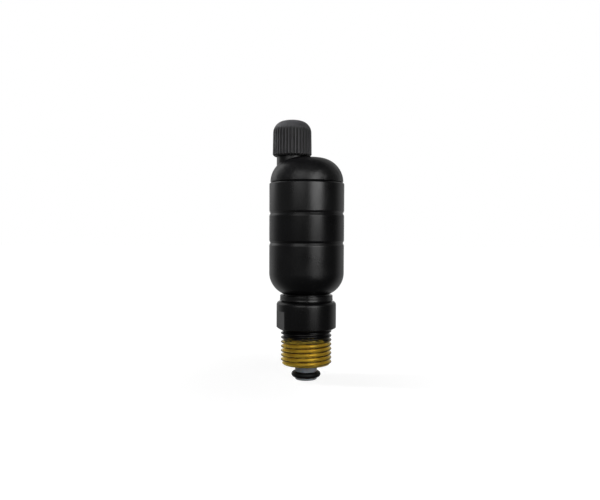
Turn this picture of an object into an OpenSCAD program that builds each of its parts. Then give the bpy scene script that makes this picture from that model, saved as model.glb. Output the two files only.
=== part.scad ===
// Automatic air release valve: a float vent screwed into a self-closing check valve.
// Millimetres, +Z up. The origin is on the valve's axis, at the top of the inlet thread.

/* [Inlet thread] */
// Major diameter of the inlet pipe thread (half inch parallel)
inlet_thread_d = 20.955; // [19.5:0.005:22]
// Length of the inlet thread
inlet_thread_len = 13.6; // [12:0.1:16]
// Lead chamfer at the end of the inlet thread
inlet_chamfer = 0.9; // [0.5:0.1:1.2]
// Pitch of the inlet thread (14 turns to the inch)
inlet_pitch = 1.814; // [1.7:0.001:1.9]
// Depth of the inlet thread
inlet_depth = 1.16; // [0.9:0.01:1.2]

/* [Check valve] */
// Outer diameter of the check valve body
check_d = 24.6; // [23.6:0.1:28]
// Height of the check valve body above its underside corner
check_len = 10.85; // [10:0.05:14]
// Height of the underside's corner above the thread
underside_h = 1.6; // [1:0.1:2.2]
// Height of the conical underside between thread and corner
underside_cone_h = 0.95; // [0.6:0.05:1]
// Radius of the rounded shoulder at the top of the check valve
shoulder_r = 1.5; // [1:0.1:2.4]
// Distance across the two wrench flats
wrench_af = 22.9; // [21.2:0.1:23.4]
// Height of the wrench flats above the underside corner
wrench_h = 7.1; // [5:0.1:8]
// Direction that one wrench flat faces, about the axis
wrench_turn = 202; // [180:1:270]
// Major diameter of the joint thread between vent and check valve (three-eighths parallel)
joint_thread_d = 16.662; // [16:0.002:17.4]
// Bore of the passage that holds the plunger spring
passage_d = 13.4; // [12.6:0.1:14]
// Bore of the lip that the plunger stem passes through
seat_bore_d = 10; // [9.4:0.1:10.6]
// Height of the conical O-ring seat below the lip
seat_cone_h = 1.5; // [1.3:0.05:1.8]
// Height of the lip above the conical seat
lip_h = 1.3; // [1:0.1:2]

/* [Check plunger] */
// Clearance round the plunger stem where it passes the lip
plunger_stem_gap = 0.47; // [0.4:0.01:0.9]
// Thickness of the plunger head that the vent pushes down
plunger_head_h = 1.6; // [1.2:0.1:2]
// Cord thickness of the plunger O-ring
plunger_ring_t = 2.35; // [2.1:0.05:2.5]
// Depth of the O-ring groove in the stem
plunger_groove_depth = 0.85; // [0.6:0.01:0.9]
// Drop of the O-ring's middle below the thread's end, valve open
plunger_drop = 4.2; // [4.2:0.1:5]
// Height of the tip flange below the O-ring
plunger_tip_h = 1; // [0.7:0.1:1.6]
// Width of a guide rib on the stem
plunger_rib_w = 1.2; // [0.8:0.1:1.6]
// Diameter of a flow notch in the head
plunger_flow_d = 3.2; // [2.4:0.1:3.6]
// Wire diameter of the plunger spring
plunger_wire_d = 0.8; // [0.6:0.05:0.9]
// Turns of the plunger spring
plunger_turns = 6; // [5:1:8]

/* [Vent body] */
// Outer diameter of the float chamber
body_d = 30.8; // [30:0.1:36]
// Straight length of the chamber, from the bowl's curve to the cover
body_len = 36.75; // [34:0.05:46]
// Wall of the float chamber
body_wall = 2.4; // [2:0.1:2.8]
// Outer radius of the bowl's curve
bowl_r = 9.5; // [8.5:0.1:10.5]
// Diameter of the bowl's foot, above the neck
bowl_foot_d = 19.4; // [19:0.1:20.4]
// Diameter of the neck between collar and bowl
neck_d = 19; // [17.6:0.1:19]
// Height of the neck
neck_h = 0.5; // [0.4:0.05:1]
// Diameter of the collar above the joint washer
collar_d = 21.7; // [20.6:0.1:22.5]
// Height of the collar
collar_h = 2.05; // [1.6:0.05:3]
// Thickness of the joint washer
washer_t = 0.5; // [0.4:0.05:1]
// Length of the spigot thread below the collar
spigot_len = 9; // [8:0.1:9.6]
// Bore of the spigot
spigot_bore_d = 11; // [10:0.1:11.6]
// Distance of the upper turned groove below the top of the chamber
upper_groove_drop = 12.5; // [9:0.1:15]
// Distance of the lower turned groove below the top of the chamber
lower_groove_drop = 24.6; // [18:0.1:28]
// Width of a turned groove at the surface
groove_w = 1.9; // [1:0.1:2.4]
// Depth of a turned groove
groove_depth = 0.45; // [0.3:0.05:0.9]
// Chamfer at the seam between chamber and cover
seam_chamfer = 0.45; // [0.3:0.05:0.7]

/* [Cover] */
// Step from the chamber's side in to the cover's edge
cover_step = 0.4; // [0.2:0.05:0.6]
// Outer radius of the dome's shoulder
dome_r = 10.1; // [9.6:0.1:11.5]
// Drop of the shoulder's centre below the cover's edge
dome_drop = 0.25; // [0:0.05:0.5]
// Wall at the top of the dome
dome_wall = 1.6; // [1.2:0.05:2]
// Inner radius of the dome's shoulder
dome_inner_r = 8; // [7.6:0.1:8.4]
// Depth of the joint thread in the chamber's wall
mouth_step = 0.6; // [0.4:0.05:0.8]
// Length of the cover's threaded skirt
skirt_len = 6; // [5:0.1:8]
// Wall of the skirt
skirt_wall = 1.95; // [1.7:0.05:2.2]
// Cord thickness of the cover O-ring
cover_ring_t = 1.15; // [1:0.05:1.25]
// Drop of the O-ring's middle below the seam
cover_ring_drop = 1.4; // [1.2:0.05:2]
// Outer diameter of the chimney
chimney_d = 12.7; // [12:0.1:13.6]
// Height of the chimney above the dome
chimney_h = 2.3; // [1.8:0.1:3]
// Diameter of the boss inside the dome, under the chimney
boss_d = 10.4; // [8:0.1:11]
// Diameter of the nozzle's thread, under the cap
nozzle_d = 10; // [9.4:0.1:11]
// Bore of the nozzle
nozzle_bore_d = 5.2; // [5:0.1:5.8]

/* [Vent cap] */
// Wall of the cap's skirt, over the chimney
cap_wall = 1.4; // [1.2:0.05:2]
// Draft of the cap's side, from its rim in to its crown
cap_taper = 0.16; // [0.1:0.02:0.5]
// Height of the cap
cap_h = 14.9; // [13.5:0.1:18]
// Gap between the dome and the cap's rim
cap_gap = 0.5; // [0.4:0.1:1.6]
// Radius of the crown's top
crown_r = 16; // [13:0.5:22]
// Radius of the crown's edge
crown_edge_r = 5; // [4:0.1:5.5]
// Thickness of the cap above its gasket
cap_roof_t = 2.5; // [2.2:0.1:3.2]
// Number of grooves round the cap
cap_grooves = 36; // [24:1:42]
// Width of a cap groove
cap_groove_w = 0.9; // [0.5:0.05:0.9]
// Depth of a cap groove
cap_groove_depth = 0.5; // [0.2:0.02:0.5]
// Thickness of the cap gasket
cap_gasket_h = 1.4; // [1:0.1:1.8]

/* [Float] */
// Gap round the float inside the cover's skirt
float_side_gap = 0.6; // [0.4:0.05:1.5]
// Wall of the float
float_wall = 1; // [0.8:0.05:1.3]
// Gap between float and bowl floor, float down
float_floor_gap = 2.4; // [2:0.1:5]
// Gap between the float's top and the cover's skirt, float down
float_top_gap = 2; // [1:0.1:3]
// Radius of the float's lower edge
float_edge_r = 5; // [4:0.1:5.6]
// Radius of the float's upper edge
float_top_r = 1.5; // [1.2:0.1:2.5]
// Diameter of the plug that closes the float
float_plug_d = 9.6; // [8:0.1:10.6]
// Lip of the plug, under the float
float_plug_lip = 0.7; // [0.5:0.05:1]
// Thickness of each lug that carries the float pin
lug_t = 1; // [0.8:0.05:1.3]

/* [Lever and valve stem] */
// Distance of the lever's pivot in from the skirt
pivot_inset = 2; // [1.9:0.05:2.4]
// Height of the pivot above the seam
pivot_h = 1; // [0.8:0.05:1.2]
// Lever arm from the pivot to the valve stem
stem_arm = 3.54; // [3.4:0.02:4]
// Tilt of the lever below level, float down
lever_tilt = 10.9; // [8:0.1:11.5]
// Thickness of the lever
lever_t = 0.8; // [0.6:0.05:0.9]
// Width of the lever
lever_w = 3; // [2.6:0.1:3.4]
// Diameter of the pivot pin and of the float pin
pin_d = 1.4; // [1.2:0.05:1.5]
// Sheet thickness of the lever bracket
bracket_t = 0.6; // [0.5:0.05:0.7]
// Diameter of the valve stem
stem_d = 1.1; // [0.9:0.05:1.3]
// Diameter of the vent orifice
orifice_d = 1.8; // [1.6:0.05:1.9]
// Diameter of the seat's threaded shank
seat_shank_d = 4.4; // [4:0.1:4.7]
// Length of the seat's shank inside the chimney
seat_shank_len = 4; // [3:0.1:5]
// Thickness of the rubber pad on the stem
pad_h = 0.8; // [0.6:0.05:1]
// Wire diameter of the stem spring
stem_wire_d = 0.4; // [0.3:0.05:0.45]
// Length of the stem spring, valve open
stem_spring_len = 4.5; // [4:0.1:6]
// Turns of the stem spring
stem_turns = 5; // [4:1:6]

/* [Hidden] */
$fn = 64;

// Overrun of a cut past the face that it opens
cut = 0.1;

// Clearances: threads, running pins, seated pieces, faces that rest on each other
thread_clear = 0.05;
run_clear = 0.05;
seat_clear = 0.01;
rest_clear = 0.05;

// Radii and heights of the check valve
thread_r = inlet_thread_d / 2;
check_r = check_d / 2;
check_top = underside_h + check_len;
joint_r = joint_thread_d / 2;
washer_inset = 0.65;
washer_r = collar_d / 2 - washer_inset;
collar_z = check_top + washer_t;
collar_edge = 0.25;
spigot_z = collar_z - spigot_len;
socket_end_gap = 1.05;
socket_z = spigot_z - socket_end_gap;
thread_end = -inlet_thread_len;

// The inlet thread: crest and root take a sixth of the pitch each, which leaves flanks at 55 degrees
thread_land = inlet_pitch / 6;
thread_flank = inlet_pitch / 3;
thread_root_r = thread_r - inlet_depth;
thread_room = inlet_thread_len - inlet_chamfer;
thread_turns = floor(thread_room / inlet_pitch);
thread_start = thread_end + inlet_chamfer + (thread_room - thread_turns * inlet_pitch + thread_land) / 2;

// Top of the lip that the plunger's spring stands on
lip_z = thread_end + seat_cone_h + lip_h;

// Radii and heights of the check plunger
plunger_r = seat_bore_d / 2 - plunger_stem_gap;
plunger_groove_r = plunger_r - plunger_groove_depth;
plunger_rib_gap = 0.2;
plunger_head_gap = 0.4;
plunger_head_r = passage_d / 2 - plunger_head_gap;
plunger_ring_z = thread_end - plunger_drop;
plunger_ring_low = plunger_ring_z - plunger_ring_t / 2;
plunger_ring_high = plunger_ring_z + plunger_ring_t / 2;
plunger_tip_z = plunger_ring_low - plunger_tip_h;
plunger_edge = 0.2;
plunger_top = spigot_z - rest_clear;
plunger_head_z = plunger_top - plunger_head_h;
plunger_rib_z = thread_end + seat_cone_h;
plunger_spring_r = (plunger_r + passage_d / 2) / 2;

// Radii and heights of the vent body
body_r = body_d / 2;
neck_z = collar_z + collar_h;
bowl_z = neck_z + neck_h;
bowl_rise = sqrt(pow(bowl_r, 2) - pow(bowl_foot_d / 2 - body_r + bowl_r, 2));
chamber_z = bowl_z + bowl_rise;
chamber_r = body_r - body_wall;
floor_z = chamber_z - bowl_r + body_wall;
seam_z = chamber_z + body_len;
skirt_z = seam_z - skirt_len;
mouth_r = chamber_r + mouth_step;
mouth_z = skirt_z - float_top_gap / 2;

// Radii and heights of the cover
cover_r = body_r - cover_step;
skirt_r = mouth_r - thread_clear;
skirt_bore_r = skirt_r - skirt_wall;
cover_edge_z = seam_z + seam_chamfer;
dome_z = cover_edge_z - dome_drop;
dome_edge_r = cover_r - dome_r + sqrt(pow(dome_r, 2) - pow(dome_drop, 2));
dome_top = dome_z + dome_r;
dome_inner_z = dome_top - dome_wall - dome_inner_r;
cover_ring_r = mouth_r - cover_ring_t / 2 - seat_clear;
cover_ring_z = seam_z - cover_ring_drop;
cover_ring_gap = 0.15;
chimney_top = dome_top + chimney_h;

// Heights of the cap, and of the nozzle that fills it
cap_skirt_clear = 0.25;
cap_skirt_r = chimney_d / 2 + cap_skirt_clear;
cap_skirt_gap = 0.8;
cap_r = cap_skirt_r + cap_wall;
cap_side_r = cap_r - cap_taper;
cap_z = dome_top + cap_gap;
cap_top = cap_z + cap_h;
cap_roof_z = cap_top - cap_roof_t;
nozzle_top = cap_roof_z - cap_gasket_h - rest_clear;
cap_bore_r = nozzle_d / 2 + thread_clear;
crown_edge_c = cap_side_r - crown_edge_r;
crown_angle = asin(crown_edge_c / (crown_r - crown_edge_r));
crown_edge_z = cap_top - crown_r + (crown_r - crown_edge_r) * cos(crown_angle);
cap_draft = atan(cap_taper / (crown_edge_z - cap_z));

// The lever: its pivot, its arms and the strokes that it gives
pivot_arm = skirt_bore_r - pivot_inset;
pivot_x = -pivot_arm;
pivot_z = seam_z + pivot_h;
stem_x = pivot_x + stem_arm;
tilt_rad = lever_tilt * PI / 180;
stem_stroke = 2 * stem_arm * tilt_rad;
eye_wall = 0.5;
eye_r = pin_d / 2 + eye_wall;
float_pin_x = pivot_x + pivot_arm * cos(lever_tilt);
float_pin_z = pivot_z - pivot_arm * sin(lever_tilt);

// The valve stem: shoulder and clip either side of the lever, then the pad
stem_end = 0.4;
clip_r = 1.2;
clip_t = 0.6;
stem_play = 0.1;
stem_half_gap = lever_t / 2 / cos(lever_tilt) + clip_r * tan(lever_tilt) + stem_play;
lever_at_stem = pivot_z - stem_arm * tan(lever_tilt);
stem_neck_r = stem_d / 2 - 0.05;
shoulder_z = lever_at_stem + stem_half_gap;
shoulder_t = 0.6;
clip_z = lever_at_stem - stem_half_gap - clip_t;
pad_z = shoulder_z + shoulder_t;
pad_r = 1.6;

// The seat, stacked up from where the pad meets it
seat_lip_h = 0.15;
seat_lip_w = 0.6;
seat_lip_z = pad_z + pad_h + stem_stroke + rest_clear;
seat_flange_z = seat_lip_z + seat_lip_h;
seat_flange_h = 1;
seat_ledge = 0.2;
seat_hex_r = (seat_shank_d / 2 + seat_ledge) / cos(30);
plate_z = seat_flange_z + seat_flange_h;
plate_top = plate_z + bracket_t;
seat_washer_t = 0.4;
seat_washer_w = 1;
boss_z = plate_top + seat_washer_t;
seat_top = boss_z + seat_shank_len;

// The stem's spring and collar, inside the nozzle
stem_collar_z = seat_top + stem_spring_len;
stem_collar_t = 0.8;
stem_collar_gap = 0.5;
stem_collar_r = nozzle_bore_d / 2 - stem_collar_gap;
stem_top = stem_collar_z + stem_collar_t + stem_end;
stem_spring_r = stem_collar_r - stem_wire_d;

// The bracket that carries the lever
hex_gap = 0.13;
cheek_y = seat_hex_r + hex_gap;
bracket_y = cheek_y + bracket_t;
cheek_edge = 0.9;
cheek_top_w = 2.2;
plate_x = stem_x - seat_shank_d / 2 - bracket_t;
plate_len = seat_shank_d + 2 * bracket_t + seat_washer_w;
tab_gap = 0.1;
tab_w = 0.5;
tab_x = pivot_x + eye_r + tab_gap;
tab_top = pivot_z - (eye_r + tab_gap + tab_w) * tan(lever_tilt) - lever_t / 2 / cos(lever_tilt) - rest_clear;
tab_z = tab_top - bracket_t;
eye_gap = 0.25;
pin_head_t = 0.4;
pin_head_step = 0.3;

// The float: body and the lugs that reach up to the lever
float_r = skirt_bore_r - float_side_gap;
float_z = floor_z + float_floor_gap;
float_low = float_z + float_edge_r;
float_top = skirt_z - float_top_gap;
float_high = float_top - float_top_r;
float_eye_step = 0.2;
lug_gap = 0.35;
lug_y = lever_w / 2 + float_eye_step + lug_gap;
lug_r = 1.7;
lug_foot = 2.5;
float_slot_clear = 0.15;
float_pin_end = 0.3;

black_paint = "#1c1c1e";
black_plastic = "#2b2b2d";
rubber = "#101012";
brass = "#b58f35";
steel = "#b4b7ba";
white_plastic = "#e4e5e6";

// Half section of a plain cylinder between two heights
module block(r, low, high) {
    polygon([[0, low], [r, low], [r, high], [0, high]]);
}

// Quarter of a disc, in the first quadrant
module quarter_disc(r) {
    intersection() {
        circle(r);
        square(r);
    }
}

// Half section of a rounded dome standing on zero: flat top, corner of radius r
module dome_section(edge, r) {
    translate([edge - r, 0]) quarter_disc(r);
    square([edge - r, r]);
}

// A plain washer or ring standing on z
module washer(z, inner_r, outer_r, t) {
    translate([0, 0, z])
        difference() {
            cylinder(h = t, r = outer_r);
            translate([0, 0, -cut]) cylinder(h = t + 2 * cut, r = inner_r);
        }
}

// A round cord bent into a ring, at height z
module o_ring(z, ring_r, cord_d) {
    translate([0, 0, z]) rotate_extrude() translate([ring_r, 0]) circle(cord_d / 2);
}

// A pin along Y, centred on the middle plane
module cross_pin(x, z, d, len) {
    translate([x, 0, z]) rotate([90, 0, 0]) cylinder(h = len, d = d, center = true);
}

// Height of a spring's wire after t turns: the end turns lie close, the rest are even
function coil_height(t, turns, wire, len) =
    let (close = 1.2 * wire, free = (len - wire - 2 * close) / (turns - 2))
    wire / 2 + (t < 1 ? t * close : t > turns - 1 ? len - wire - (turns - t) * close : close + (t - 1) * free);

// Compression spring: a round wire swept along its coil, standing on z
module coil_spring(z, coil_r, wire, len, turns, steps, sides) {
    rings = turns * steps;
    ring = [for (i = [0:rings]) let (t = i / steps, a = 360 * t)
        [for (j = [0:sides - 1]) let (b = 360 * j / sides, r = coil_r + wire / 2 * cos(b))
            [r * cos(a), r * sin(a), coil_height(t, turns, wire, len) + wire / 2 * sin(b)]]];
    walls = [for (i = [0:rings - 1], j = [0:sides - 1]) let (k = (j + 1) % sides)
        each [[i * sides + j, (i + 1) * sides + j, (i + 1) * sides + k],
              [i * sides + j, (i + 1) * sides + k, i * sides + k]]];
    start = [for (j = [0:sides - 1]) j];
    end = [for (j = [0:sides - 1]) rings * sides + sides - 1 - j];
    translate([0, 0, z])
        polyhedron([for (r = ring) each r], concat(walls, [start, end]), convexity = 12);
}

// Check valve body: inlet thread below, wrench flats, socket for the vent above
module check_body() {
    color(black_paint)
    difference() {
        rotate_extrude() check_section();
        rotate_extrude() check_bore_section();
        for (side = [0, 180])
            rotate(wrench_turn + side)
                translate([wrench_af / 2, -check_r, 0])
                    cube([check_r, check_d, underside_h + wrench_h]);
    }
}

// The thread's grooves are rings here, without the helix
module check_section() {
    shoulder_z = check_top - shoulder_r;
    thread_grooves = [for (turn = [0:thread_turns - 1]) let (z = thread_start + turn * inlet_pitch) each [
        [thread_r, z], [thread_root_r, z + thread_flank],
        [thread_root_r, z + thread_flank + thread_land], [thread_r, z + 2 * thread_flank + thread_land]
    ]];
    polygon([
        [0, thread_end], [thread_r - inlet_chamfer, thread_end], [thread_r, thread_end + inlet_chamfer],
        each thread_grooves,
        [thread_r, underside_h - underside_cone_h], [check_r, underside_h], [check_r, shoulder_z], [0, shoulder_z]
    ]);
    translate([0, shoulder_z]) dome_section(check_r, shoulder_r);
}

module check_bore_section() {
    bore_r = seat_bore_d / 2;
    mouth_r = bore_r + seat_cone_h;
    socket_r = joint_r + thread_clear;
    polygon([
        [0, thread_end - cut], [mouth_r, thread_end - cut], [mouth_r, thread_end],
        [bore_r, thread_end + seat_cone_h], [bore_r, lip_z], [passage_d / 2, lip_z],
        [passage_d / 2, socket_z], [socket_r, socket_z], [socket_r, check_top + cut], [0, check_top + cut]
    ]);
}

// Plunger: head with flow notches, ribbed stem, and a tip that holds the O-ring
module check_plunger() {
    color(white_plastic)
    difference() {
        union() {
            rotate_extrude() plunger_section();
            for (turn = [45:90:315])
                rotate(turn)
                    translate([0, -plunger_rib_w / 2, plunger_rib_z])
                        cube([seat_bore_d / 2 - plunger_rib_gap, plunger_rib_w, plunger_head_z - plunger_rib_z]);
        }
        for (turn = [0:90:270])
            rotate(turn)
                translate([plunger_head_r + plunger_flow_d / 4, 0, plunger_head_z - cut])
                    cylinder(h = plunger_head_h + 2 * cut, d = plunger_flow_d);
    }
}

module plunger_section() {
    polygon([
        [0, plunger_tip_z], [plunger_r - plunger_edge, plunger_tip_z], [plunger_r, plunger_tip_z + plunger_edge],
        [plunger_r, plunger_ring_low], [plunger_groove_r, plunger_ring_low],
        [plunger_groove_r, plunger_ring_high], [plunger_r, plunger_ring_high], [plunger_r, plunger_head_z],
        [plunger_head_r, plunger_head_z], [plunger_head_r, plunger_top], [0, plunger_top]
    ]);
}

module plunger_o_ring() {
    color(rubber) o_ring(plunger_ring_z, plunger_groove_r + plunger_ring_t / 2, plunger_ring_t - 2 * seat_clear);
}

module plunger_spring() {
    color(steel)
    coil_spring(lip_z, plunger_spring_r, plunger_wire_d, plunger_head_z - lip_z, plunger_turns, 18, 8);
}

module joint_washer() {
    color(rubber) washer(check_top, joint_r + 2 * thread_clear, washer_r, washer_t);
}

// Vent body: threaded spigot, collar, bowl and grooved float chamber
module vent_body() {
    color(black_paint)
    difference() {
        rotate_extrude()
            difference() {
                body_section();
                for (drop = [upper_groove_drop, lower_groove_drop])
                    translate([body_r, seam_z - drop]) groove_section();
            }
        rotate_extrude() chamber_section();
        translate([0, 0, spigot_z - cut]) cylinder(h = floor_z - spigot_z + 2 * cut, d = spigot_bore_d);
    }
}

module body_section() {
    collar_r = collar_d / 2;
    block(joint_r, spigot_z, collar_z);
    polygon([
        [0, collar_z], [collar_r - collar_edge, collar_z], [collar_r, collar_z + collar_edge],
        [collar_r, neck_z - collar_edge], [collar_r - collar_edge, neck_z], [0, neck_z]
    ]);
    block(neck_d / 2, neck_z, bowl_z);
    intersection() {
        translate([0, chamber_z]) mirror([0, 1]) dome_section(body_r, bowl_r);
        translate([0, bowl_z]) square([body_d, body_len]);
    }
    polygon([
        [0, chamber_z], [body_r, chamber_z], [body_r, seam_z - seam_chamfer],
        [body_r - seam_chamfer, seam_z], [0, seam_z]
    ]);
}

module groove_section() {
    half_w = groove_w / 2;
    polygon([[cut, -half_w], [0, -half_w], [-groove_depth, 0], [0, half_w], [cut, half_w]]);
}

module chamber_section() {
    translate([0, chamber_z]) mirror([0, 1]) dome_section(chamber_r, bowl_r - body_wall);
    block(chamber_r, chamber_z, mouth_z);
    block(mouth_r, mouth_z, seam_z + cut);
}

// Cover: threaded skirt, dome, and an offset chimney that ends in the capped nozzle
module vent_cover() {
    color(black_paint)
    difference() {
        union() {
            rotate_extrude() cover_section();
            translate([stem_x, 0, dome_z]) cylinder(h = chimney_top - dome_z, d = chimney_d);
            translate([stem_x, 0, dome_z]) cylinder(h = nozzle_top - dome_z, d = nozzle_d);
        }
        difference() {
            rotate_extrude() cover_cavity_section();
            translate([stem_x, 0, boss_z]) cylinder(h = dome_r, d = boss_d);
        }
        translate([stem_x, 0, boss_z - cut]) cylinder(h = dome_r, d = seat_shank_d + 2 * seat_clear);
        translate([stem_x, 0, seat_top]) cylinder(h = nozzle_top, d = nozzle_bore_d);
    }
}

module cover_section() {
    ring_half_h = cover_ring_t / 2 + cover_ring_gap;
    ring_floor_r = cover_ring_r - cover_ring_t / 2 - seat_clear;
    polygon([
        [0, skirt_z], [skirt_r, skirt_z], [skirt_r, cover_ring_z - ring_half_h],
        [ring_floor_r, cover_ring_z - ring_half_h], [ring_floor_r, cover_ring_z + ring_half_h],
        [skirt_r, cover_ring_z + ring_half_h], [skirt_r, seam_z], [dome_edge_r - seam_chamfer, seam_z],
        [dome_edge_r, cover_edge_z], [0, cover_edge_z]
    ]);
    intersection() {
        translate([0, dome_z]) dome_section(cover_r, dome_r);
        translate([0, cover_edge_z]) square([body_d, body_d]);
    }
}

module cover_cavity_section() {
    block(skirt_bore_r, skirt_z - cut, dome_inner_z);
    translate([0, dome_inner_z]) dome_section(skirt_bore_r, dome_inner_r);
}

module cover_o_ring() {
    color(rubber) o_ring(cover_ring_z, cover_ring_r, cover_ring_t);
}

// Seat insert: threaded shank, hexagon, and the raised lip round the orifice
module seat_insert() {
    color(brass)
    translate([stem_x, 0, 0])
        difference() {
            union() {
                translate([0, 0, plate_z]) cylinder(h = seat_top - plate_z, d = seat_shank_d);
                translate([0, 0, seat_flange_z]) cylinder(h = seat_flange_h, r = seat_hex_r, $fn = 6);
                translate([0, 0, seat_lip_z]) cylinder(h = seat_flange_h, r = orifice_d / 2 + seat_lip_w);
            }
            translate([0, 0, seat_lip_z - cut]) cylinder(h = seat_top, d = orifice_d);
        }
}

module seat_washer() {
    shank_r = seat_shank_d / 2;
    color(rubber)
    translate([stem_x, 0, 0])
        washer(plate_top, shank_r + seat_clear, shank_r + seat_washer_w, seat_washer_t);
}

// Bracket: folded sheet with two cheeks for the pivot pin and a stop tab under the lever
module lever_bracket() {
    color(steel)
    difference() {
        union() {
            translate([plate_x, -bracket_y, plate_z]) cube([plate_len, 2 * bracket_y, bracket_t]);
            for (side = [-1, 1])
                translate([0, side * (bracket_y - bracket_t / 2), 0])
                    rotate([90, 0, 0]) linear_extrude(bracket_t, center = true) cheek_section();
            translate([tab_x, -bracket_y, tab_z]) cube([tab_w, 2 * bracket_y, bracket_t]);
        }
        translate([stem_x, 0, plate_z - cut])
            cylinder(h = bracket_t + 2 * cut, d = seat_shank_d + 2 * seat_clear);
        cross_pin(pivot_x, pivot_z, pin_d + 2 * seat_clear, 2 * bracket_y + cut);
    }
}

module cheek_section() {
    polygon([
        [plate_x, plate_top], [plate_x + cheek_top_w, plate_top], [tab_x + tab_w, tab_z],
        [pivot_x - cheek_edge, tab_z], [pivot_x - cheek_edge, pivot_z + cheek_edge]
    ]);
}

module pivot_pin() {
    head_y = bracket_y + rest_clear;
    color(steel) {
        cross_pin(pivot_x, pivot_z, pin_d, 2 * head_y);
        for (side = [-1, 1])
            translate([0, side * (head_y + pin_head_t / 2), 0])
                cross_pin(pivot_x, pivot_z, pin_d + 2 * pin_head_step, pin_head_t);
    }
}

// Lever, drawn level about its pivot and then tilted to the float-down pose
module float_lever() {
    slot_r = stem_neck_r + 0.3;
    eye_w = 2 * (cheek_y - eye_gap);
    color(steel)
    translate([pivot_x, 0, pivot_z])
        rotate([0, lever_tilt, 0])
            difference() {
                union() {
                    translate([0, -lever_w / 2, -lever_t / 2]) cube([pivot_arm, lever_w, lever_t]);
                    cross_pin(0, 0, 2 * eye_r, eye_w);
                    cross_pin(pivot_arm, 0, 2 * eye_r, lever_w + 2 * float_eye_step);
                }
                cross_pin(0, 0, pin_d + 2 * run_clear, eye_w + cut);
                cross_pin(pivot_arm, 0, pin_d + 2 * seat_clear, 2 * lever_w);
                for (x = [stem_arm, stem_arm / cos(lever_tilt)])
                    translate([x, 0, -lever_t]) cylinder(h = 2 * lever_t, r = slot_r);
            }
}

module float_pin() {
    color(steel) cross_pin(float_pin_x, float_pin_z, pin_d, 2 * (lug_y + lug_t + float_pin_end));
}

// Float: hollow shell with two slotted lugs on top
module float_shell() {
    color(white_plastic)
    difference() {
        union() {
            rotate_extrude() float_section(0);
            for (side = [-1, 1])
                translate([0, side * (lug_y + lug_t / 2), 0])
                    rotate([90, 0, 0]) linear_extrude(lug_t, center = true) lug_section();
        }
        rotate_extrude() float_section(float_wall);
        translate([0, 0, float_z - cut]) cylinder(h = float_wall + 2 * cut, d = float_plug_d + 2 * seat_clear);
        for (x = [float_pin_x, 0])
            cross_pin(x, float_pin_z, pin_d + 2 * float_slot_clear, float_r);
    }
}

module float_section(inset) {
    translate([0, float_low]) mirror([0, 1]) dome_section(float_r - inset, float_edge_r - inset);
    block(float_r - inset, float_low, float_high);
    translate([0, float_high]) dome_section(float_r - inset, float_top_r - inset);
}

module lug_section() {
    foot_z = float_top - float_wall / 2;
    polygon([[-lug_foot, foot_z], [lug_foot, foot_z], [lug_r, float_pin_z], [-lug_r, float_pin_z]]);
    translate([0, float_pin_z]) circle(lug_r);
}

module float_plug() {
    plug_r = float_plug_d / 2;
    color(white_plastic) {
        translate([0, 0, float_z]) cylinder(h = float_wall, r = plug_r);
        translate([0, 0, float_z - float_plug_lip]) cylinder(h = float_plug_lip, r = plug_r + float_plug_lip);
    }
}

// Valve stem: neck through the lever, pad seat, and a rod up through the orifice
module valve_stem() {
    neck_z = clip_z - stem_end;
    color(brass)
    translate([stem_x, 0, 0]) {
        translate([0, 0, neck_z]) cylinder(h = shoulder_z - neck_z, r = stem_neck_r);
        translate([0, 0, shoulder_z]) cylinder(h = shoulder_t, r = pad_r);
        translate([0, 0, pad_z]) cylinder(h = stem_top - pad_z, d = stem_d);
    }
}

module stem_pad() {
    color(rubber) translate([stem_x, 0, 0]) washer(pad_z, stem_d / 2 + seat_clear, pad_r, pad_h);
}

module stem_clip() {
    slot_w = 1.4 * stem_neck_r;
    color(steel)
    translate([stem_x, 0, 0])
        difference() {
            washer(clip_z, stem_neck_r + seat_clear, clip_r, clip_t);
            translate([0, -slot_w / 2, clip_z - cut]) cube([2 * clip_r, slot_w, clip_t + 2 * cut]);
        }
}

module stem_collar() {
    color(brass)
    translate([stem_x, 0, 0]) washer(stem_collar_z, stem_d / 2 + seat_clear, stem_collar_r, stem_collar_t);
}

module stem_spring() {
    color(steel)
    translate([stem_x, 0, 0])
        coil_spring(seat_top, stem_spring_r, stem_wire_d, stem_spring_len, stem_turns, 14, 6);
}

// Cap: drafted sides with grooves that run out on the crown, and a threaded bore
module vent_cap() {
    groove_r = cap_groove_w / 2;
    color(black_plastic)
    translate([stem_x, 0, 0])
        difference() {
            rotate_extrude() cap_section();
            translate([0, 0, cap_z - cut])
                cylinder(h = chimney_top + cap_skirt_gap - cap_z + cut, r = cap_skirt_r);
            translate([0, 0, cap_z]) cylinder(h = cap_roof_z - cap_z, r = cap_bore_r);
            for (i = [0:cap_grooves - 1])
                rotate(360 * (i + 0.5) / cap_grooves)
                    translate([cap_r + groove_r - cap_groove_depth, 0, cap_z])
                        rotate([0, -cap_draft, 0])
                            translate([0, 0, -1]) cylinder(h = cap_h, r = groove_r);
        }
}

module cap_section() {
    crown_x = crown_r * sin(crown_angle);
    polygon([[0, cap_z], [cap_r, cap_z], [cap_side_r, crown_edge_z], [0, crown_edge_z]]);
    translate([crown_edge_c, crown_edge_z]) quarter_disc(crown_edge_r);
    intersection() {
        translate([0, cap_top - crown_r]) circle(crown_r);
        polygon([
            [0, crown_edge_z], [crown_edge_c, crown_edge_z],
            [crown_x, cap_top - crown_r + crown_r * cos(crown_angle)],
            [crown_x, cap_top + cut], [0, cap_top + cut]
        ]);
    }
}

module cap_gasket() {
    color(rubber)
    translate([stem_x, 0, nozzle_top + rest_clear / 2]) cylinder(h = cap_gasket_h, r = cap_bore_r - run_clear);
}

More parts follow.
